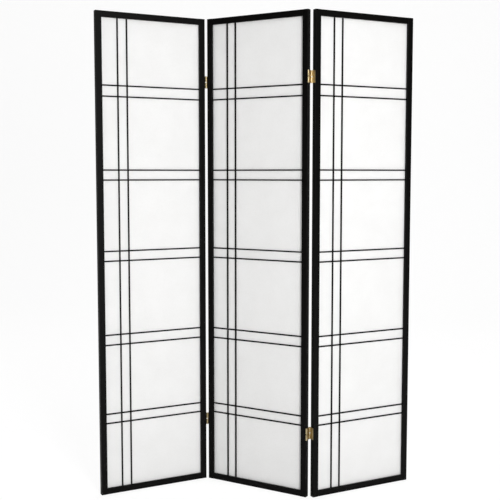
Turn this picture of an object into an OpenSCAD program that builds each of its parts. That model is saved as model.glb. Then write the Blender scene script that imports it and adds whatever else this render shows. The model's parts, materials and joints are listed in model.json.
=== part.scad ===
// Free-standing folding shoji screen: three framed paper panels joined by two-way screen hinges.
// Z is up. X runs across the screen as seen from its front, and Y runs from its front to its back.
// The origin is on the floor, at the centre of the box that the standing screen fills.

/* [Panels] */
// Height of each panel
panel_h = 1784; // [1200:1:2200]
// Width of each panel
panel_w = 430; // [280:1:600]
// Thickness of the frame members, front to back
panel_t = 20; // [16:0.5:30]

/* [Stance] */
// Turn of the middle panel about the vertical, seen from above
middle_turn = -30.6; // [-45:0.1:-10]
// Angle between the left and middle panels, away from flat
left_fold = 58; // [20:1:100]
// Angle between the middle and right panels, away from flat
right_fold = 58; // [20:1:100]

/* [Frame members] */
// Width of the upright stiles across the panel
stile_w = 22.6; // [18:0.1:40]
// Height of the top and bottom rails
rail_h = 22.6; // [18:0.1:60]
// Radius of the eased long edges of stiles and rails
edge_r = 1.2; // [0.5:0.1:2.5]
// Thickness of the rail tenons
tenon_t = 7; // [5:0.5:10]
// Distance from a rail's outer edge to its tenon
tenon_inset = 4; // [2:0.5:8]
// Wood between a rail's tenon and its groove
tenon_cover = 1; // [0.5:0.5:2]
// Wood left behind the blind end of a mortise
mortise_wall = 8; // [5:0.5:12]

/* [Lattice] */
// Distance from the panel's front face to the lattice bars
lattice_setback = 7.9; // [3:0.1:9]
// Depth of the lattice bars, front to back
bar_depth = 4.2; // [3:0.1:6]
// Width of the two upright lattice bars
upright_w = 5.4; // [3:0.1:10]
// Height of the level lattice bars
crossbar_h = 5; // [3:0.1:10]
// Centre of the first upright bar, from the panel's left edge
upright_1_at = 84.6; // [60:0.1:100]
// Centre of the second upright bar, from the panel's left edge
upright_2_at = 120.4; // [110:0.1:160]
// Centres of the five pairs of level bars, lowest first, as shares of the panel's height
pair_share = [0.160, 0.3265, 0.502, 0.6697, 0.841];
// Spacing between the two bars of each pair, lowest first
pair_spacing = [35.1, 37.8, 36.6, 36.6, 39.7];
// Thickness of the paper, glued behind the lattice
paper_t = 0.4; // [0.2:0.1:1]
// Depth of the groove that holds the lattice ends and the paper's edges
groove_depth = 5; // [3:0.5:6]

/* [Hinges] */
// Height of a hinge leaf
hinge_h = 44.5; // [44:0.5:70]
// Centre of the upper hinges, below the panel's top
upper_hinge_drop = 237; // [100:1:350]
// Centre of the lower hinges, above the floor
lower_hinge_rise = 240; // [100:1:350]
// Thickness of the hinge leaves
leaf_t = 2; // [1.5:0.1:3]
// Gap between two leaves that lie against each other
leaf_gap = 0.5; // [0.3:0.1:1]
// Distance of the hinge pins' axes outside the panel faces
pin_out = 2.2; // [1.8:0.1:4]
// Radius of the hinge pins
pin_r = 1.5; // [1:0.1:1.8]
// Radius of the pins' coned heads
pin_head_r = 2.4; // [2:0.1:3]
// Height of the pins' heads
pin_head_h = 0.9; // [0.5:0.1:1.5]
// Opening between the upper and lower barrels of one hinge
barrel_split = 4; // [1:0.5:6]
// Corner radius of the leaves
leaf_corner_r = 1.5; // [0.5:0.5:3]

/* [Screws] */
// Radius of the screw shanks
screw_r = 1.6; // [1.2:0.1:2]
// Radius of the countersunk screw heads
screw_head_r = 3; // [2.5:0.1:3.5]
// Height of the countersunk cone
screw_head_h = 1.5; // [1:0.1:1.5]
// Length of the screws over all
screw_l = 16; // [12:1:18]
// Distance between neighbouring screws of a leaf
screw_pitch = 15; // [12:1:18]

/* [Clearances] */
// Clearance round glued joints, tongues and paper edges
joint_fit = 0.1; // [0.05:0.05:0.2]
// Radial clearance of the pins in their knuckles
pin_fit = 0.05; // [0.02:0.01:0.1]
// Clearance round the screws
screw_fit = 0.05; // [0.02:0.01:0.1]
// Play between a tongue's end and the bottom of its groove
groove_play = 0.5; // [0.2:0.1:1]
// Gap between stacked knuckles
knuckle_play = 0.25; // [0.2:0.05:0.5]
// Gap between a turning knuckle and the leaf that it passes
turn_gap = 0.3; // [0.3:0.1:0.6]

/* [Hidden] */
$fn = 48;
black_lacquer = "#1c1a19";
paper_white = "#f3f0e8";
brass = "#c8a050";

// Cuts run this far past the faces that they open.
overcut = 1;

// Each junction has three leaves side by side between the panels' edges.
panel_gap = 3 * leaf_t + 2 * leaf_gap;
knuckle_r = panel_gap / 2;
leaf_inset = knuckle_r + turn_gap - pin_out;
leaf_w = panel_t - 2 * leaf_inset;
barrel_h = (hinge_h - barrel_split) / 2;
knuckle_h = (barrel_h - 2 * knuckle_play) / 3;
upper_hinge_z = panel_h - upper_hinge_drop;
hinge_heights = [lower_hinge_rise, upper_hinge_z];

tenon_l = stile_w - mortise_wall;
tenon_h = rail_h - tenon_inset - groove_depth - tenon_cover;
tongue_l = groove_depth - groove_play;
groove_y = lattice_setback - joint_fit;
groove_t = bar_depth + paper_t + 2 * joint_fit;
opening_w = panel_w - 2 * stile_w;
opening_h = panel_h - 2 * rail_h;
upright_at = [upright_1_at, upright_2_at];
crossbar_at = [
    for (i = [0 : len(pair_share) - 1])
        [for (side = [-0.5, 0.5]) pair_share[i] * panel_h + side * pair_spacing[i]]
];

// The pins' axes in the middle panel's own plan, whose origin is its front left corner.
left_front_pin = [-panel_gap / 2, -pin_out];
left_back_pin = [-panel_gap / 2, panel_t + pin_out];
right_front_pin = [panel_w + panel_gap / 2, -pin_out];
right_back_pin = [panel_w + panel_gap / 2, panel_t + pin_out];
panel_step = [panel_w + panel_gap, 0];

function turned(p, a) = [p.x * cos(a) - p.y * sin(a), p.x * sin(a) + p.y * cos(a)];
function turned_about(p, c, a) = c + turned(p - c, a);
function from_left(p) = turned_about(p - panel_step, left_front_pin, left_fold);
function from_right(p) = turned_about(p + panel_step, right_back_pin, right_fold);

// Every round corner and barrel in plan, as its centre and radius, gives the standing screen's box.
corners = [for (x = [edge_r, panel_w - edge_r], y = [edge_r, panel_t - edge_r]) [x, y]];
rounds = concat(
    [for (c = corners) [c, edge_r]],
    [for (c = corners) [from_left(c), edge_r]],
    [for (c = corners) [from_right(c), edge_r]],
    [for (c = [left_front_pin, left_back_pin, right_front_pin, right_back_pin]) [c, knuckle_r]]
);
spots = [for (s = rounds) [turned(s[0], middle_turn), s[1]]];
low_x = min([for (s = spots) s[0].x - s[1]]);
high_x = max([for (s = spots) s[0].x + s[1]]);
low_y = min([for (s = spots) s[0].y - s[1]]);
high_y = max([for (s = spots) s[0].y + s[1]]);

PANELS = ["left_panel", "middle_panel", "right_panel"];
HINGES = ["left_lower_hinge", "left_upper_hinge", "right_lower_hinge", "right_upper_hinge"];
FRAME_PIECES = ["left_stile", "right_stile", "top_rail", "bottom_rail"];
UPRIGHTS = ["upright_1", "upright_2"];
PAIRS = ["crossbars_1", "crossbars_2", "crossbars_3", "crossbars_4", "crossbars_5"];
HINGE_PIECES = ["left_leaf", "link_leaf", "right_leaf", "front_pins", "back_pins"];
SCREWED_EDGES = [
    "left_panel_right_edge_screws", "middle_panel_left_edge_screws",
    "middle_panel_right_edge_screws", "right_panel_left_edge_screws"
];

// ---- Places ----

// From the middle panel's own frame to the standing screen.
module in_middle() {
    translate([-(low_x + high_x) / 2, -(low_y + high_y) / 2, 0])
        rotate([0, 0, middle_turn])
            children();
}

module about(pin, angle) {
    translate([pin.x, pin.y, 0])
        rotate([0, 0, angle])
            translate([-pin.x, -pin.y, 0])
                children();
}

// The left panel is folded about the front pins, so its junction opens towards the back.
module in_left() {
    in_middle()
        about(left_front_pin, left_fold)
            translate([-panel_step.x, 0, 0])
                children();
}

// The right panel is folded about the back pins, so its junction opens towards the front.
module in_right() {
    in_middle()
        about(right_back_pin, right_fold)
            translate([panel_step.x, 0, 0])
                children();
}

module in_panel(i) {
    if (i == 0) in_left() children();
    if (i == 1) in_middle() children();
    if (i == 2) in_right() children();
}

// A hinge frame has x = 0 on the edge of the panel to its left, and z = 0 at half the leaf.
module at_hinge(side, level) {
    translate([side == 0 ? -panel_gap : panel_w, 0, hinge_heights[level]])
        children();
}

module mirrored_to_right_edge() {
    translate([panel_w, 0, 0])
        mirror([1, 0, 0])
            children();
}

// ---- Frame members ----

module eased_rect(w, d, r) {
    translate([r, 0]) square([w - 2 * r, d]);
    translate([0, r]) square([w, d - 2 * r]);
    for (x = [r, w - r], y = [r, d - r])
        translate([x, y]) circle(r);
}

module mortise() {
    translate([stile_w - tenon_l - joint_fit, (panel_t - tenon_t) / 2 - joint_fit, tenon_inset - joint_fit])
        cube([tenon_l + 2 * joint_fit, tenon_t + 2 * joint_fit, tenon_h + 2 * joint_fit]);
}

module screw_holes() {
    for (z = hinge_heights, k = [-1, 0, 1])
        translate([-overcut, panel_t / 2, z + k * screw_pitch])
            rotate([0, 90, 0])
                cylinder(r = screw_r + screw_fit, h = screw_l + overcut);
}

// The left stile of a panel, with its outer edge at x = 0.
module stile(hinged) {
    color(black_lacquer)
        difference() {
            linear_extrude(panel_h) eased_rect(stile_w, panel_t, edge_r);
            translate([stile_w - groove_depth, groove_y, rail_h - groove_depth])
                cube([groove_depth + overcut, groove_t, opening_h + 2 * groove_depth]);
            mortise();
            translate([0, 0, panel_h]) mirror([0, 0, 1]) mortise();
            if (hinged) screw_holes();
        }
}

// The bottom rail: shoulders against the stiles, a tenon at each end and the groove on top.
module rail() {
    color(black_lacquer)
        difference() {
            union() {
                translate([stile_w, 0, 0])
                    rotate([90, 0, 90])
                        linear_extrude(opening_w) eased_rect(panel_t, rail_h, edge_r);
                translate([stile_w - tenon_l, (panel_t - tenon_t) / 2, tenon_inset])
                    cube([opening_w + 2 * tenon_l, tenon_t, tenon_h]);
            }
            translate([stile_w - overcut, groove_y, rail_h - groove_depth])
                cube([opening_w + 2 * overcut, groove_t, groove_depth + overcut]);
        }
}

module top_rail() {
    translate([0, 0, panel_h]) mirror([0, 0, 1]) rail();
}

// ---- Lattice and paper ----

// An upright bar keeps its front half where the level bars pass behind it.
module upright(i) {
    color(black_lacquer)
        difference() {
            translate([upright_at[i] - upright_w / 2, lattice_setback, rail_h - tongue_l])
                cube([upright_w, bar_depth, opening_h + 2 * tongue_l]);
            for (pair = crossbar_at, z = pair)
                translate([
                    upright_at[i] - upright_w,
                    lattice_setback + bar_depth / 2,
                    z - crossbar_h / 2 - joint_fit
                ])
                    cube([2 * upright_w, bar_depth, crossbar_h + 2 * joint_fit]);
        }
}

module crossbars(i) {
    color(black_lacquer)
        for (z = crossbar_at[i])
            difference() {
                translate([stile_w - tongue_l, lattice_setback, z - crossbar_h / 2])
                    cube([opening_w + 2 * tongue_l, bar_depth, crossbar_h]);
                for (x = upright_at)
                    translate([
                        x - upright_w / 2 - joint_fit,
                        lattice_setback - bar_depth / 2,
                        z - crossbar_h
                    ])
                        cube([upright_w + 2 * joint_fit, bar_depth, 2 * crossbar_h]);
            }
}

module paper() {
    color(paper_white)
        translate([stile_w - tongue_l, lattice_setback + bar_depth, rail_h - tongue_l])
            cube([opening_w + 2 * tongue_l, paper_t, opening_h + 2 * tongue_l]);
}

// ---- Hinges ----

// A plate standing in the plane of a panel's edge, with its near face at x = 0.
module plate() {
    translate([0, leaf_inset, -hinge_h / 2])
        rotate([90, 0, 90])
            linear_extrude(leaf_t) eased_rect(leaf_w, hinge_h, leaf_corner_r);
}

module countersinks() {
    for (k = [-1, 0, 1])
        translate([leaf_t, panel_t / 2, k * screw_pitch])
            rotate([0, -90, 0]) {
                translate([0, 0, -overcut])
                    cylinder(r = screw_r + screw_fit, h = leaf_t + 2 * overcut);
                cylinder(
                    r1 = screw_head_r + screw_fit,
                    r2 = screw_r + screw_fit,
                    h = screw_head_h
                );
            }
}

// Bottom heights of the knuckles of one hinge: the outer leaf has four, the link leaf two.
outer_knuckles = [
    for (side = [-1, 1], k = [0, 2])
        side * (barrel_split / 2 + k * (knuckle_h + knuckle_play)) - (side < 0 ? knuckle_h : 0)
];
link_knuckles = [
    for (side = [-1, 1])
        side * (barrel_split / 2 + knuckle_h + knuckle_play) - (side < 0 ? knuckle_h : 0)
];

// Knuckles at a front pin, each joined to its own leaf by a strap of the leaf's thickness.
module knuckles(heights, strap_x) {
    for (z = heights)
        translate([0, 0, z]) {
            translate([knuckle_r, -pin_out, 0]) cylinder(r = knuckle_r, h = knuckle_h);
            translate([strap_x, -pin_out, 0])
                cube([leaf_t, pin_out + leaf_inset + leaf_corner_r, knuckle_h]);
        }
}

module front_bore() {
    translate([knuckle_r, -pin_out, -hinge_h])
        cylinder(r = pin_r + pin_fit, h = 2 * hinge_h);
}

// The leaf on the edge of the panel to the left, which holds the front barrels.
module left_leaf() {
    color(brass)
        difference() {
            union() {
                plate();
                knuckles(outer_knuckles, 0);
            }
            front_bore();
            countersinks();
        }
}

module swapped_end_for_end() {
    translate([panel_gap, panel_t, 0]) rotate([0, 0, 180]) children();
}

// The leaf on the edge of the panel to the right, which holds the back barrels.
module right_leaf() {
    swapped_end_for_end() left_leaf();
}

// The loose leaf between the two, which turns on both pins.
module link_leaf() {
    link_x = leaf_t + leaf_gap;
    color(brass)
        difference() {
            union() {
                translate([link_x, 0, 0]) plate();
                knuckles(link_knuckles, link_x);
                swapped_end_for_end() knuckles(link_knuckles, link_x);
            }
            front_bore();
            swapped_end_for_end() front_bore();
        }
}

// One short pin in each barrel, with a coned head at its outer end.
module front_pins() {
    color(brass)
        for (side = [0, 1])
            mirror([0, 0, side])
                translate([knuckle_r, -pin_out, barrel_split / 2]) {
                    cylinder(r = pin_r, h = barrel_h);
                    translate([0, 0, barrel_h])
                        cylinder(r1 = pin_head_r, r2 = pin_r, h = pin_head_h);
                }
}

module back_pins() {
    swapped_end_for_end() front_pins();
}

module hinge_piece(name) {
    if (name == "left_leaf") left_leaf();
    if (name == "link_leaf") link_leaf();
    if (name == "right_leaf") right_leaf();
    if (name == "front_pins") front_pins();
    if (name == "back_pins") back_pins();
}

// At each junction the link leaf stays with the middle panel, and only the outer piece is folded.
module in_hinge(side, name) {
    outer_left = side == 0 && (name == "left_leaf" || name == "front_pins");
    outer_right = side == 1 && (name == "right_leaf" || name == "back_pins");
    if (outer_left) in_middle() about(left_front_pin, left_fold) children();
    else if (outer_right) in_middle() about(right_back_pin, right_fold) children();
    else in_middle() children();
}

// ---- Screws ----

// The six screws of a panel's left edge, seated in the countersinks of the two leaves there.
module edge_screws() {
    color(brass)
        for (z = hinge_heights, k = [-1, 0, 1])
            translate([-leaf_t, panel_t / 2, z + k * screw_pitch])
                rotate([0, 90, 0]) {
                    cylinder(r1 = screw_head_r, r2 = screw_r, h = screw_head_h);
                    cylinder(r = screw_r, h = screw_l);
                }
}

// ---- Drawing ----

for (i = [0 : 2]) {
    name = PANELS[i];
    in_panel(i) stile(i > 0);
    in_panel(i) mirrored_to_right_edge() stile(i < 2);
    in_panel(i) top_rail();
    in_panel(i) rail();
    in_panel(i) paper();
    for (k = [0 : len(UPRIGHTS) - 1])
        in_panel(i) upright(k);
    for (k = [0 : len(PAIRS) - 1])
        in_panel(i) crossbars(k);
}

for (side = [0, 1], level = [0, 1], piece = HINGE_PIECES)
    in_hinge(side, piece) at_hinge(side, level) hinge_piece(piece);

in_left() mirrored_to_right_edge() edge_screws();  // left_panel_right_edge_screws
in_middle() edge_screws();  // middle_panel_left_edge_screws
in_middle() mirrored_to_right_edge() edge_screws();  // middle_panel_right_edge_screws
in_right() edge_screws();  // right_panel_left_edge_screws
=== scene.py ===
"""Looks of a free-standing folding shoji screen: black lacquered frames, slim lattice, paper, brass hinges.

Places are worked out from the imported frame: the hinge pins give each panel's turn, and the CAD nodes give
what lies in it. A panel's own frame has x across it, y from its front to its back and z up, with its origin
at the low corner of its left stile.
"""

import json
from math import atan2, cos, pi, radians, sin

import bmesh
import bpy
from mathutils import Matrix, Vector


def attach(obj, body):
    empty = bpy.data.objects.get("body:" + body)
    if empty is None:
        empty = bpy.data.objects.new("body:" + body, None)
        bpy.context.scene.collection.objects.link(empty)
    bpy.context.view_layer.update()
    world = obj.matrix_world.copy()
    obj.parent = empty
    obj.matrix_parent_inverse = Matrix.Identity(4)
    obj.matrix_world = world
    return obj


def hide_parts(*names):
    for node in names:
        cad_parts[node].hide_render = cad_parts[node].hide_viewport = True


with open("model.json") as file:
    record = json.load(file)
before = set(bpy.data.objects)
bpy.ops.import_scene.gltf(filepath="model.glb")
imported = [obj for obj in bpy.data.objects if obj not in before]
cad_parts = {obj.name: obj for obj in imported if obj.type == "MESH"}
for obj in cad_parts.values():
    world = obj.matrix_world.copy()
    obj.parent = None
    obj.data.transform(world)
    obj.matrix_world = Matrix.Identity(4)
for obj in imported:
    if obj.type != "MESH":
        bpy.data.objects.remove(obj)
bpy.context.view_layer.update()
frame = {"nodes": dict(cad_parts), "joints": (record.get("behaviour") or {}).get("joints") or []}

MM = 0.001
PANELS = ["left_panel", "middle_panel", "right_panel"]
UPRIGHTS = ["upright_1", "upright_2"]
PAIRS = [f"crossbars_{i}" for i in range(1, 6)]
HINGES = ["left_lower_hinge", "left_upper_hinge", "right_lower_hinge", "right_upper_hinge"]
HINGE_PARTS = ["left_leaf", "link_leaf", "right_leaf", "front_pins", "back_pins"]
SCREWED_EDGES = [
    ("left_panel", "right"),
    ("middle_panel", "left"),
    ("middle_panel", "right"),
    ("right_panel", "left"),
]


# ---- Where the panels stand ----


def panel_turns():
    """Each panel's turn about the vertical: the middle one's from two pins, the others' from the folds."""
    joints = {joint["name"]: joint for joint in frame["joints"]}
    across = Vector(joints["right_reverse_fold"]["pos_m"]) - Vector(joints["left_fold"]["pos_m"])
    middle = atan2(across.y, across.x)
    return {
        "left_panel": middle - radians(joints["left_fold"]["range_deg"][0]),
        "middle_panel": middle,
        "right_panel": middle - radians(joints["right_fold"]["range_deg"][0]),
    }


TURNS = panel_turns()


def turned_points(node, panel):
    """The points of a CAD node, turned into the panel's directions but not moved."""
    back = Matrix.Rotation(-TURNS[panel], 3, "Z")
    return [back @ v.co for v in frame["nodes"][node].data.vertices]


def low_high(points):
    """The low and the high corner of the box round some points."""
    low = Vector([min(p[k] for p in points) for k in range(3)])
    high = Vector([max(p[k] for p in points) for k in range(3)])
    return low, high


def panel_place(panel):
    """The matrix from a panel's own frame to the standing screen."""
    corner = low_high(turned_points(f"{panel}_left_stile", panel))[0]
    return Matrix.Rotation(TURNS[panel], 4, "Z") @ Matrix.Translation(corner)


PLACES = {panel: panel_place(panel) for panel in PANELS}


def local_points(node, panel):
    """The points of a CAD node in the panel's own frame."""
    inverse = PLACES[panel].inverted()
    return [inverse @ v.co for v in frame["nodes"][node].data.vertices]


def local_box(node, panel):
    """The low and the high corner of a CAD node in the panel's own frame."""
    return low_high(local_points(node, panel))


def local_levels(node, panel):
    """The different heights at which a CAD node has points, lowest first."""
    return sorted({round(p.z, 5) for p in local_points(node, panel)})


# ---- Material helpers ----

MIX_COLOUR_A, MIX_COLOUR_B, MIX_COLOUR_OUT = 6, 7, 2
BEVEL_SAMPLES = 4
FLAT_DOT = 0.98
EDGE_DOT = 0.75


class Shader:
    """A material's node tree, with a short way to add and join its nodes."""

    def __init__(self, name):
        self.material = bpy.data.materials.new(name)
        self.material.use_nodes = True
        self.nodes = self.material.node_tree.nodes
        self.nodes.clear()
        self.output = self.add("ShaderNodeOutputMaterial")

    def add(self, kind, inputs=None, **settings):
        node = self.nodes.new(kind)
        for key, value in settings.items():
            setattr(node, key, value)
        for key, value in (inputs or {}).items():
            self.put(node.inputs[key], value)
        return node

    def put(self, socket, value):
        """Joins an output to the socket, or sets the socket to a plain value."""
        if isinstance(value, bpy.types.NodeSocket):
            self.material.node_tree.links.new(value, socket)
        else:
            socket.default_value = value

    def place(self, turn=0.0, scale=(1, 1, 1)):
        """Object coordinates, turned back by a panel's turn so that a pattern follows its rails."""
        coordinates = self.add("ShaderNodeTexCoord")
        straight = self.add(
            "ShaderNodeMapping",
            {"Vector": coordinates.outputs["Object"], "Rotation": (0, 0, -turn)},
        )
        return self.add(
            "ShaderNodeMapping", {"Vector": straight.outputs["Vector"], "Scale": scale}
        ).outputs["Vector"]

    def noise(self, vector, scale, detail=3.0, roughness=0.5, distortion=0.0):
        """Soft random values from 0 to 1."""
        return self.add(
            "ShaderNodeTexNoise",
            {
                "Vector": vector,
                "Scale": scale,
                "Detail": detail,
                "Roughness": roughness,
                "Distortion": distortion,
            },
        ).outputs["Fac"]

    def between(self, value, from_low, from_high, to_low, to_high):
        """The value moved from one range to another, and held within it."""
        return self.add(
            "ShaderNodeMapRange",
            {
                "Value": value,
                "From Min": from_low,
                "From Max": from_high,
                "To Min": to_low,
                "To Max": to_high,
            },
        ).outputs["Result"]

    def math(self, operation, a, b=0.0):
        node = self.add("ShaderNodeMath", operation=operation)
        self.put(node.inputs[0], a)
        self.put(node.inputs[1], b)
        return node.outputs[0]

    def blend(self, factor, a, b):
        """Colour a where the factor is 0 and colour b where it is 1."""
        node = self.add("ShaderNodeMix", data_type="RGBA")
        self.put(node.inputs["Factor"], factor)
        self.put(node.inputs[MIX_COLOUR_A], a)
        self.put(node.inputs[MIX_COLOUR_B], b)
        return node.outputs[MIX_COLOUR_OUT]

    def bump(self, height, distance, strength=1.0, normal=None):
        node = self.add(
            "ShaderNodeBump", {"Height": height, "Distance": distance, "Strength": strength}
        )
        if normal is not None:
            self.put(node.inputs["Normal"], normal)
        return node.outputs["Normal"]

    def edges(self, radius):
        """1 along the outer edges of a piece, where its finish is rubbed, and 0 on its flats."""
        eased = self.add("ShaderNodeBevel", {"Radius": radius}, samples=BEVEL_SAMPLES).outputs["Normal"]
        own = self.add("ShaderNodeNewGeometry").outputs["Normal"]
        facing = self.add("ShaderNodeVectorMath", operation="DOT_PRODUCT")
        self.put(facing.inputs[0], eased)
        self.put(facing.inputs[1], own)
        return self.between(facing.outputs["Value"], FLAT_DOT, EDGE_DOT, 0.0, 1.0)

    def show(self, shader):
        self.put(self.output.inputs["Surface"], shader.outputs[0])
        return self.material


# ---- Materials ----

LACQUER_DEEP = (0.0018, 0.0017, 0.0016, 1)
LACQUER_GRAIN = (0.0040, 0.0036, 0.0033, 1)
LACQUER_RUBBED = (0.020, 0.016, 0.013, 1)
LACQUER_EDGE = 1.2 * MM
LACQUER_SHINE = 0.08
GRAIN_ACROSS = 900
GRAIN_ALONG = 60
PORE_FINENESS = 2.2
BRUSH_FINENESS = 0.3

PULP_DARK = (0.882, 0.881, 0.876, 1)
PULP_LIGHT = (0.922, 0.922, 0.919, 1)
FIBRE_WHITE = (0.975, 0.975, 0.972, 1)
PULP_FLECK = (0.80, 0.797, 0.787, 1)
THROUGH_PULP = (0.90, 0.895, 0.885, 1)
THROUGH_FIBRE = (0.78, 0.772, 0.755, 1)
PAPER_THROUGH_SHARE = 0.30

BRASS_BRIGHT = (0.57, 0.465, 0.27, 1)
BRASS_DULLED = (0.44, 0.35, 0.19, 1)
BRASS_RUBBED = (0.80, 0.66, 0.42, 1)
BRASS_EDGE = 0.4 * MM

BACKDROP_WHITE = (0.92, 0.92, 0.92, 1)
BACKDROP_SEEN = (0.25, 0.25, 0.25, 1)
BACKDROP_GLOW = 0.82


def black_lacquer(name, turn, along):
    """Satin black lacquer on close-grained wood. along is the grain's direction in the panel: "x" or "z"."""
    s = Shader(name)
    if along == "x":
        stretch = (GRAIN_ALONG, GRAIN_ACROSS, GRAIN_ACROSS)
    else:
        stretch = (GRAIN_ACROSS, GRAIN_ACROSS, GRAIN_ALONG)
    grain = s.noise(s.place(turn, stretch), 1.0, detail=5.0, roughness=0.6)
    pores = s.noise(s.place(turn, tuple(PORE_FINENESS * k for k in stretch)), 1.0, detail=2.0)
    brush = s.noise(s.place(turn, tuple(BRUSH_FINENESS * k for k in stretch)), 1.0, detail=2.0)
    cloud = s.noise(s.place(turn), 9.0, detail=2.0)
    rubbed = s.math("MULTIPLY", s.edges(LACQUER_EDGE), s.between(cloud, 0.4, 0.7, 0.1, 0.7))
    tone = s.blend(s.between(grain, 0.35, 0.7, 0.0, 1.0), LACQUER_DEEP, LACQUER_GRAIN)
    tone = s.blend(rubbed, tone, LACQUER_RUBBED)
    rough = s.math("ADD", s.between(grain, 0.3, 0.7, 0.33, 0.43), s.between(cloud, 0.3, 0.7, -0.03, 0.05))
    normal = s.bump(pores, 0.04 * MM, 0.5)
    normal = s.bump(grain, 0.10 * MM, 0.6, normal)
    normal = s.bump(brush, 0.20 * MM, 0.5, normal)
    return s.show(
        s.add(
            "ShaderNodeBsdfPrincipled",
            {
                "Base Color": tone,
                "Roughness": rough,
                "Specular IOR Level": LACQUER_SHINE,
                "Coat Weight": 0.0,
                "Normal": normal,
            },
        )
    )


def shoji_paper(name, turn):
    """Translucent mulberry paper: cloudy pulp, long pale fibres and a slight tooth."""
    s = Shader(name)
    vector = s.place(turn)
    cloud = s.noise(vector, 14.0, detail=4.0, roughness=0.6)
    pulp = s.noise(vector, 260.0, detail=4.0, roughness=0.65)
    fibre_a = s.noise(s.place(turn + 0.5, (260, 260, 22)), 1.0, detail=2.0, distortion=2.2)
    fibre_b = s.noise(s.place(turn, (30, 260, 240)), 1.0, detail=2.0, distortion=2.6)
    thread_a = s.between(s.math("ABSOLUTE", s.math("SUBTRACT", fibre_a, 0.5)), 0.0, 0.018, 1.0, 0.0)
    thread_b = s.between(s.math("ABSOLUTE", s.math("SUBTRACT", fibre_b, 0.5)), 0.0, 0.016, 1.0, 0.0)
    threads = s.math("MAXIMUM", thread_a, thread_b)
    tone = s.blend(s.between(cloud, 0.3, 0.7, 0.0, 1.0), PULP_DARK, PULP_LIGHT)
    tone = s.blend(s.math("MULTIPLY", threads, 0.8), tone, FIBRE_WHITE)
    tone = s.blend(s.between(pulp, 0.25, 0.5, 0.45, 0.0), tone, PULP_FLECK)
    through = s.blend(s.math("MULTIPLY", threads, 0.5), THROUGH_PULP, THROUGH_FIBRE)
    normal = s.bump(pulp, 0.06 * MM, 0.5)
    normal = s.bump(threads, 0.04 * MM, 0.4, normal)
    front = s.add(
        "ShaderNodeBsdfPrincipled",
        {
            "Base Color": tone,
            "Roughness": s.between(pulp, 0.3, 0.7, 0.82, 0.95),
            "Specular IOR Level": 0.2,
            "Sheen Weight": 0.15,
            "Sheen Roughness": 0.6,
            "Normal": normal,
        },
    )
    glow = s.add("ShaderNodeBsdfTranslucent", {"Color": through, "Normal": normal})
    mix = s.add("ShaderNodeMixShader", {"Fac": PAPER_THROUGH_SHARE})
    s.put(mix.inputs[1], front.outputs[0])
    s.put(mix.inputs[2], glow.outputs[0])
    return s.show(mix)


def hinge_brass(name, turn, brushed=True):
    """Stamped brass with a fine upright brushing and slightly dulled flats."""
    s = Shader(name)
    lines = s.noise(s.place(turn, (2600, 2600, 60)), 1.0, detail=3.0, roughness=0.7)
    stain = s.noise(s.place(turn), 70.0, detail=4.0, roughness=0.65)
    pits = s.noise(s.place(turn), 900.0, detail=2.0)
    tone = s.blend(s.between(stain, 0.35, 0.75, 0.0, 1.0), BRASS_BRIGHT, BRASS_DULLED)
    tone = s.blend(s.math("MULTIPLY", s.edges(BRASS_EDGE), 0.5), tone, BRASS_RUBBED)
    rough = s.math("ADD", s.between(lines, 0.3, 0.7, 0.28, 0.42), s.between(stain, 0.4, 0.8, 0.0, 0.10))
    normal = s.bump(pits, 0.02 * MM, 0.3)
    if brushed:
        normal = s.bump(lines, 0.03 * MM, 0.6, normal)
    return s.show(
        s.add(
            "ShaderNodeBsdfPrincipled",
            {
                "Base Color": tone,
                "Metallic": 1.0,
                "Roughness": rough,
                "Normal": normal,
            },
        )
    )


def pale_backdrop(name):
    """White paper roll that glows evenly where the camera sees it and lights nothing else."""
    s = Shader(name)
    seen = s.add("ShaderNodeLightPath").outputs["Is Camera Ray"]
    return s.show(
        s.add(
            "ShaderNodeBsdfPrincipled",
            {
                "Base Color": s.blend(seen, BACKDROP_WHITE, BACKDROP_SEEN),
                "Roughness": 0.9,
                "Specular IOR Level": 0.0,
                "Emission Color": (1, 1, 1, 1),
                "Emission Strength": s.math("MULTIPLY", seen, BACKDROP_GLOW),
            },
        )
    )


UPRIGHT_WOOD = {p: black_lacquer(f"{p} upright lacquer", TURNS[p], "z") for p in PANELS}
LEVEL_WOOD = {p: black_lacquer(f"{p} level lacquer", TURNS[p], "x") for p in PANELS}
PAPER = {p: shoji_paper(f"{p} shoji paper", TURNS[p]) for p in PANELS}
BRASS = hinge_brass("hinge brass", TURNS["middle_panel"])
SCREW_BRASS = hinge_brass("screw brass", TURNS["middle_panel"], brushed=False)


def paint(node, material):
    """Gives a CAD node its finish."""
    mesh = frame["nodes"][node].data
    mesh.materials.clear()
    mesh.materials.append(material)


# ---- Geometry node helpers ----

DOUBLES = 0.002 * MM


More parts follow.
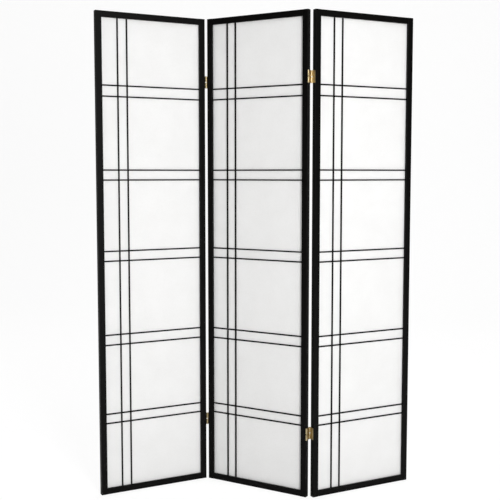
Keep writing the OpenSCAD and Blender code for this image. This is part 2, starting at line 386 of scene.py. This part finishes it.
class Tree:
    """A geometry node tree with named inputs, which ends in Realize Instances and Set Material."""

    KINDS = {float: "NodeSocketFloat", int: "NodeSocketInt", tuple: "NodeSocketVector"}

    def __init__(self, name, **sizes):
        self.tree = bpy.data.node_groups.new(name, "GeometryNodeTree")
        self.tree.interface.new_socket("Geometry", in_out="INPUT", socket_type="NodeSocketGeometry")
        self.sockets = {}
        for key, value in sizes.items():
            socket = self.tree.interface.new_socket(
                key.replace("_", " "), in_out="INPUT", socket_type=self.KINDS[type(value)]
            )
            socket.default_value = value
            self.sockets[key] = socket.identifier
        material = self.tree.interface.new_socket("Finish", in_out="INPUT", socket_type="NodeSocketMaterial")
        self.sockets["finish"] = material.identifier
        self.tree.interface.new_socket("Geometry", in_out="OUTPUT", socket_type="NodeSocketGeometry")
        self.start = self.add("NodeGroupInput")

    def add(self, kind, inputs=None, **settings):
        node = self.tree.nodes.new(kind)
        for key, value in settings.items():
            setattr(node, key, value)
        for key, value in (inputs or {}).items():
            self.put(node.inputs[key], value)
        return node

    def put(self, socket, value):
        if isinstance(value, bpy.types.NodeSocket):
            self.tree.links.new(value, socket)
        else:
            socket.default_value = value

    def given(self, key):
        """The socket of a named input, inside the tree."""
        return self.start.outputs[key.replace("_", " ")]

    def math(self, operation, a, b=0.0):
        node = self.add("ShaderNodeMath", operation=operation)
        self.put(node.inputs[0], a)
        self.put(node.inputs[1], b)
        return node.outputs[0]

    def vector(self, x=0.0, y=0.0, z=0.0):
        return self.add("ShaderNodeCombineXYZ", {"X": x, "Y": y, "Z": z}).outputs[0]

    def finish(self, geometry):
        """Ends the tree: instances made real, then the finish set."""
        whole = self.add("GeometryNodeRealizeInstances", {"Geometry": geometry})
        dressed = self.add(
            "GeometryNodeSetMaterial",
            {"Geometry": whole.outputs["Geometry"], "Material": self.given("Finish")},
        )
        end = self.add("NodeGroupOutput")
        self.tree.links.new(dressed.outputs["Geometry"], end.inputs[0])


def grown(name, tree, points, place, finish, **sizes):
    """A plain mesh grown by a tree on points of a panel's own frame, then set in its place."""
    seed_mesh = bpy.data.meshes.new(name)
    seed_mesh.from_pydata([tuple(p) for p in points], [], [])
    seed = bpy.data.objects.new(name, seed_mesh)
    bpy.context.scene.collection.objects.link(seed)
    modifier = seed.modifiers.new("grow", "NODES")
    modifier.node_group = tree.tree
    for key, value in {**sizes, "finish": finish}.items():
        modifier[tree.sockets[key]] = value
    evaluated = seed.evaluated_get(bpy.context.evaluated_depsgraph_get())
    mesh = bpy.data.meshes.new_from_object(evaluated)
    seed.modifiers.remove(modifier)
    seed.data = mesh
    bpy.data.meshes.remove(seed_mesh)
    mesh.name = name
    mesh.transform(place)
    if not mesh.materials:
        mesh.materials.append(finish)
    return seed


def tidy_mesh(piece, smooth_angle):
    """Merges doubles, turns every face outwards and shades edges under the angle smooth."""
    work = bmesh.new()
    work.from_mesh(piece.data)
    bmesh.ops.remove_doubles(work, verts=work.verts, dist=DOUBLES)
    bmesh.ops.recalc_face_normals(work, faces=work.faces)
    for face in work.faces:
        face.smooth = True
    for edge in work.edges:
        edge.smooth = not edge.is_boundary and edge.calc_face_angle(0) < smooth_angle
    work.to_mesh(piece.data)
    work.free()


# ---- Lattice ----

BAR_EASE = 0.45 * MM
BAR_EASE_POINTS = 3
BAR_SMOOTH = radians(50)
BAR_DOUBLES = 0.01 * MM
LAP_STEP = 0.12 * MM


def set_fillet_mode(node, count):
    """A fillet with a set number of points at each corner."""
    if hasattr(node, "mode"):
        node.mode = "POLY"
    else:
        node.inputs["Mode"].default_value = "Poly"
    node.inputs["Count"].default_value = count


def bar_tree():
    """A bar with eased edges stands on every point: two sizes set its section and a third its length."""
    t = Tree(
        "eased bars",
        bar_width=5 * MM,
        bar_depth=4 * MM,
        bar_length=1.0,
        eased_edge=0.4 * MM,
        turn=(0.0, 0.0, 0.0),
    )
    section = t.add(
        "GeometryNodeCurvePrimitiveQuadrilateral",
        {"Width": t.given("bar_width"), "Height": t.given("bar_depth")},
    )
    eased = t.add(
        "GeometryNodeFilletCurve",
        {"Curve": section.outputs[0], "Radius": t.given("eased_edge"), "Limit Radius": True},
    )
    set_fillet_mode(eased, BAR_EASE_POINTS)
    face = t.add("GeometryNodeFillCurve", {"Curve": eased.outputs[0]})
    drawn = t.add(
        "GeometryNodeExtrudeMesh",
        {
            "Mesh": face.outputs[0],
            "Offset": t.vector(z=1.0),
            "Offset Scale": t.given("bar_length"),
            "Individual": False,
        },
    )
    foot = t.add("GeometryNodeFlipFaces", {"Mesh": face.outputs[0]})
    both = t.add("GeometryNodeJoinGeometry")
    t.put(both.inputs[0], drawn.outputs["Mesh"])
    t.put(both.inputs[0], foot.outputs[0])
    bar = t.add("GeometryNodeMergeByDistance", {"Geometry": both.outputs[0], "Distance": BAR_DOUBLES})
    row = t.add(
        "GeometryNodeInstanceOnPoints",
        {
            "Points": t.start.outputs["Geometry"],
            "Instance": bar.outputs[0],
            "Rotation": t.given("turn"),
        },
    )
    t.finish(row.outputs[0])
    return t


BAR_TREE = bar_tree()


def upright_bars(panel):
    """The panel's two upright lattice bars."""
    boxes = [local_box(f"{panel}_{name}", panel) for name in UPRIGHTS]
    low, high = boxes[0]
    depth = local_box(f"{panel}_crossbars_1", panel)
    starts = [((a.x + b.x) / 2, (depth[0].y + depth[1].y) / 2, a.z) for a, b in boxes]
    piece = grown(
        f"{panel}_upright_bars",
        BAR_TREE,
        starts,
        PLACES[panel],
        UPRIGHT_WOOD[panel],
        bar_width=high.x - low.x,
        bar_depth=depth[1].y - depth[0].y,
        bar_length=high.z - low.z,
        eased_edge=BAR_EASE,
    )
    tidy_mesh(piece, BAR_SMOOTH)
    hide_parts(*[f"{panel}_{name}" for name in UPRIGHTS])
    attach(piece, panel)


def level_bars(panel):
    """The panel's ten level lattice bars, let into the uprights a hair behind their front."""
    starts = []
    for name in PAIRS:
        low, high = local_box(f"{panel}_{name}", panel)
        levels = local_levels(f"{panel}_{name}", panel)
        bar_h = levels[1] - levels[0]
        middle_y = (low.y + high.y) / 2 + LAP_STEP / 2
        starts += [(low.x, middle_y, level + bar_h / 2) for level in (levels[0], levels[2])]
    piece = grown(
        f"{panel}_level_bars",
        BAR_TREE,
        starts,
        PLACES[panel],
        LEVEL_WOOD[panel],
        bar_width=bar_h,
        bar_depth=high.y - low.y - LAP_STEP,
        bar_length=high.x - low.x,
        eased_edge=BAR_EASE,
        turn=(0.0, pi / 2, 0.0),
    )
    tidy_mesh(piece, BAR_SMOOTH)
    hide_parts(*[f"{panel}_{name}" for name in PAIRS])
    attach(piece, panel)


# ---- Paper ----

PAPER_STEP = 9 * MM
PAPER_BILLOW = 0.35 * MM
PAPER_SMOOTH = radians(40)


def spaced(stops, step):
    """Places from the first stop to the last, about a step apart, with every stop among them."""
    places = [stops[0]]
    for a, b in zip(stops, stops[1:]):
        count = max(1, round((b - a) / step))
        places += [a + (b - a) * i / count for i in range(1, count + 1)]
    return places


def billow(place, stops):
    """0 where the paper is glued, at each stop, and 1 halfway between two stops."""
    for a, b in zip(stops, stops[1:]):
        if a <= place <= b:
            return sin(pi * (place - a) / (b - a))
    return 0.0


def paper_sheet(panel):
    """A thin sheet glued to the back of the lattice, with a slight slackness in each cell."""
    low, high = local_box(f"{panel}_paper", panel)
    uprights = [local_box(f"{panel}_{name}", panel) for name in UPRIGHTS]
    rails = [local_box(f"{panel}_{name}", panel) for name in ("bottom_rail", "top_rail")]
    stiles = [local_box(f"{panel}_{name}", panel) for name in ("left_stile", "right_stile")]
    across = [low.x, stiles[0][1].x, *[(a.x + b.x) / 2 for a, b in uprights], stiles[1][0].x, high.x]
    levels = [local_levels(f"{panel}_{name}", panel) for name in PAIRS]
    glued = [(pair[i] + pair[i + 1]) / 2 for pair in levels for i in (0, 2)]
    up = [low.z, rails[0][1].z, *glued, rails[1][0].z, high.z]
    xs, zs = spaced(across, PAPER_STEP), spaced(up, PAPER_STEP)
    held_x, held_z = across[1:-1], up[1:-1]
    work = bmesh.new()
    sheets = []
    for y in (low.y, high.y):
        sheets.append(
            [
                [
                    work.verts.new((x, y + PAPER_BILLOW * billow(x, held_x) * billow(z, held_z), z))
                    for z in zs
                ]
                for x in xs
            ]
        )
    front, back = sheets
    for i in range(len(xs) - 1):
        for k in range(len(zs) - 1):
            for sheet in sheets:
                work.faces.new([sheet[i][k], sheet[i + 1][k], sheet[i + 1][k + 1], sheet[i][k + 1]])
    rim = (
        [(i, 0) for i in range(len(xs) - 1)]
        + [(len(xs) - 1, k) for k in range(len(zs) - 1)]
        + [(i, len(zs) - 1) for i in range(len(xs) - 1, 0, -1)]
        + [(0, k) for k in range(len(zs) - 1, 0, -1)]
    )
    for (i, k), (m, n) in zip(rim, rim[1:] + rim[:1]):
        work.faces.new([front[i][k], front[m][n], back[m][n], back[i][k]])
    mesh = bpy.data.meshes.new(f"{panel}_paper_sheet")
    work.to_mesh(mesh)
    work.free()
    mesh.transform(PLACES[panel])
    piece = bpy.data.objects.new(f"{panel}_paper_sheet", mesh)
    bpy.context.scene.collection.objects.link(piece)
    mesh.materials.append(PAPER[panel])
    tidy_mesh(piece, PAPER_SMOOTH)
    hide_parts(f"{panel}_paper")
    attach(piece, panel)


# ---- Screws ----

SPIN_LOW, SPIN_HIGH, SPIN_OUT = 2, 3, 1
SCREW_SIDES = 40
SCREW_TIP_R = 0.2 * MM
SCREW_SMOOTH = radians(35)
SAME_PLANE = 0.01 * MM
HEAD_GAP = 5 * MM


def screw_tree():
    """A countersunk screw with a cross recess on every point, each turned its own way."""
    t = Tree(
        "countersunk screws",
        head_radius=3 * MM,
        head_height=1.5 * MM,
        shank_radius=1.6 * MM,
        screw_length=16 * MM,
        recess_width=0.9 * MM,
        recess_length=3.4 * MM,
        recess_depth=0.8 * MM,
        axis=(0.0, 0.0, 0.0),
        seed=7,
    )
    head = t.add(
        "GeometryNodeMeshCone",
        {
            "Vertices": SCREW_SIDES,
            "Radius Top": t.given("shank_radius"),
            "Radius Bottom": t.given("head_radius"),
            "Depth": t.given("head_height"),
        },
    )
    shank_length = t.math("SUBTRACT", t.given("screw_length"), t.given("head_height"))
    shank = t.add(
        "GeometryNodeMeshCone",
        {
            "Vertices": SCREW_SIDES,
            "Radius Top": SCREW_TIP_R,
            "Radius Bottom": t.given("shank_radius"),
            "Depth": shank_length,
        },
    )
    raised = t.add(
        "GeometryNodeTransform",
        {"Geometry": shank.outputs["Mesh"], "Translation": t.vector(z=t.given("head_height"))},
    )
    both_ways = t.math("MULTIPLY", t.given("recess_depth"), 2.0)
    slot = t.add(
        "GeometryNodeMeshCube",
        {"Size": t.vector(t.given("recess_length"), t.given("recess_width"), both_ways)},
    )
    cross = t.add("GeometryNodeTransform", {"Geometry": slot.outputs["Mesh"], "Rotation": (0, 0, pi / 2)})
    cut = t.add("GeometryNodeMeshBoolean", operation="DIFFERENCE")
    t.put(cut.inputs["Mesh 1"], head.outputs["Mesh"])
    t.put(cut.inputs["Mesh 2"], slot.outputs["Mesh"])
    t.put(cut.inputs["Mesh 2"], cross.outputs["Geometry"])
    screw = t.add("GeometryNodeJoinGeometry")
    t.put(screw.inputs[0], cut.outputs["Mesh"])
    t.put(screw.inputs[0], raised.outputs["Geometry"])
    spin = t.add("FunctionNodeRandomValue", data_type="FLOAT")
    t.put(spin.inputs["Seed"], t.given("seed"))
    spin.inputs[SPIN_LOW].default_value = 0.0
    spin.inputs[SPIN_HIGH].default_value = pi
    own_turn = t.vector(z=spin.outputs[SPIN_OUT])
    row = t.add(
        "GeometryNodeInstanceOnPoints",
        {
            "Points": t.start.outputs["Geometry"],
            "Instance": screw.outputs[0],
            "Rotation": t.given("axis"),
        },
    )
    turned = t.add(
        "GeometryNodeRotateInstances",
        {"Instances": row.outputs[0], "Rotation": own_turn, "Local Space": True},
    )
    t.finish(turned.outputs[0])
    return t


SCREW_TREE = screw_tree()


def edge_screws(panel, side, seed):
    """The six screws in one edge of a panel, where the CAD node has them."""
    node = f"{panel}_{side}_edge_screws"
    points = local_points(node, panel)
    low, high = low_high(points)
    outside = low.x if side == "left" else high.x
    rim = [p for p in points if abs(p.x - outside) < SAME_PLANE]
    heights = sorted({round(p.z, 4) for p in rim})
    groups = [[heights[0]]]
    for z in heights[1:]:
        if z - groups[-1][-1] > HEAD_GAP:
            groups.append([])
        groups[-1].append(z)
    centre_y = (low.y + high.y) / 2
    head_r = (groups[0][-1] - groups[0][0]) / 2
    piece = grown(
        f"{node}_driven",
        SCREW_TREE,
        [(outside, centre_y, (group[0] + group[-1]) / 2) for group in groups],
        PLACES[panel],
        SCREW_BRASS,
        head_radius=head_r,
        screw_length=high.x - low.x,
        axis=(0.0, pi / 2 if side == "left" else -pi / 2, 0.0),
        seed=seed,
    )
    tidy_mesh(piece, SCREW_SMOOTH)
    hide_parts(node)
    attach(piece, panel)


# ---- Stage ----

EYE = Vector((-0.0267, -3.3704, 1.199))
DOWNWARD = radians(4.84)
LENS_MM = 64.7
SENSOR_MM = 36
AMBIENT = 0.43
MIRRORED = 0.05
FLOOR_FRONT_Y = -9.0
SWEEP_Y = 4.0
SWEEP_R = 2.5
SWEEP_STEPS = 24
WALL_TOP = 9.0
WALL_HALF_WIDTH = 14.0

# Each lamp: its name, place, aim, size and power.
LAMPS = [
    ("key", (1.1, -3.8, 1.4), (0, 0, 0.8), (0.8, 1.4), 104),
    ("side softbox", (2.3, -2.9, 3.0), (-0.3, 0, 1.2), (1.2, 1.2), 14),
    ("overhead", (0.0, 2.2, 4.2), (0, 2.4, 0), (4.0, 2.5), 50),
]


def camera():
    """The camera, in front of the screen at chest height and looking slightly down."""
    data = bpy.data.cameras.new("camera")
    data.lens = LENS_MM
    data.sensor_width = SENSOR_MM
    eye = bpy.data.objects.new("camera", data)
    eye.location = EYE
    eye.rotation_euler = (pi / 2 - DOWNWARD, 0, 0)
    bpy.context.scene.collection.objects.link(eye)
    bpy.context.scene.camera = eye


def soft_light(name, place, aim, size, power):
    """A rectangular softbox that points at its aim."""
    data = bpy.data.lights.new(name, "AREA")
    data.shape = "RECTANGLE"
    data.size, data.size_y = size
    data.energy = power
    lamp = bpy.data.objects.new(name, data)
    lamp.location = place
    lamp.rotation_euler = (Vector(aim) - Vector(place)).to_track_quat("-Z", "Y").to_euler()
    bpy.context.scene.collection.objects.link(lamp)


def backdrop():
    """A pale floor that sweeps up into a wall behind the screen."""
    profile = [(FLOOR_FRONT_Y, 0.0)]
    for i in range(SWEEP_STEPS + 1):
        angle = pi / 2 * i / SWEEP_STEPS
        profile.append((SWEEP_Y + SWEEP_R * sin(angle), SWEEP_R * (1 - cos(angle))))
    profile.append((SWEEP_Y + SWEEP_R, WALL_TOP))
    verts = [(x, y, z) for y, z in profile for x in (-WALL_HALF_WIDTH, WALL_HALF_WIDTH)]
    faces = [(2 * i, 2 * i + 1, 2 * i + 3, 2 * i + 2) for i in range(len(profile) - 1)]
    mesh = bpy.data.meshes.new("backdrop")
    mesh.from_pydata(verts, [], faces)
    mesh.shade_smooth()
    mesh.materials.append(pale_backdrop("pale backdrop"))
    sweep = bpy.data.objects.new("backdrop", mesh)
    bpy.context.scene.collection.objects.link(sweep)


def surroundings():
    """A dim even studio, darker still where it shows in polished surfaces."""
    world = bpy.data.worlds.new("studio")
    world.use_nodes = True
    nodes, links = world.node_tree.nodes, world.node_tree.links
    path = nodes.new("ShaderNodeLightPath")
    strength = nodes.new("ShaderNodeMapRange")
    strength.inputs["To Min"].default_value = AMBIENT
    strength.inputs["To Max"].default_value = MIRRORED
    links.new(path.outputs["Is Glossy Ray"], strength.inputs["Value"])
    links.new(strength.outputs["Result"], nodes["Background"].inputs["Strength"])
    nodes["Background"].inputs["Color"].default_value = (1, 1, 1, 1)
    bpy.context.scene.world = world


def studio():
    """Backdrop, surroundings and lamps."""
    backdrop()
    surroundings()
    for lamp in LAMPS:
        soft_light(*lamp)
    bpy.context.scene.view_settings.view_transform = "Standard"


# ---- The screen ----

camera()
for panel in PANELS:
    for side in ("left", "right"):
        paint(f"{panel}_{side}_stile", UPRIGHT_WOOD[panel])
    for end in ("top", "bottom"):
        paint(f"{panel}_{end}_rail", LEVEL_WOOD[panel])
    upright_bars(panel)
    level_bars(panel)
    paper_sheet(panel)
for hinge in HINGES:
    for part in HINGE_PARTS:
        paint(f"{hinge}_{part}", BRASS)
for seed, (panel, side) in enumerate(SCREWED_EDGES, start=1):
    edge_screws(panel, side, seed)
studio()
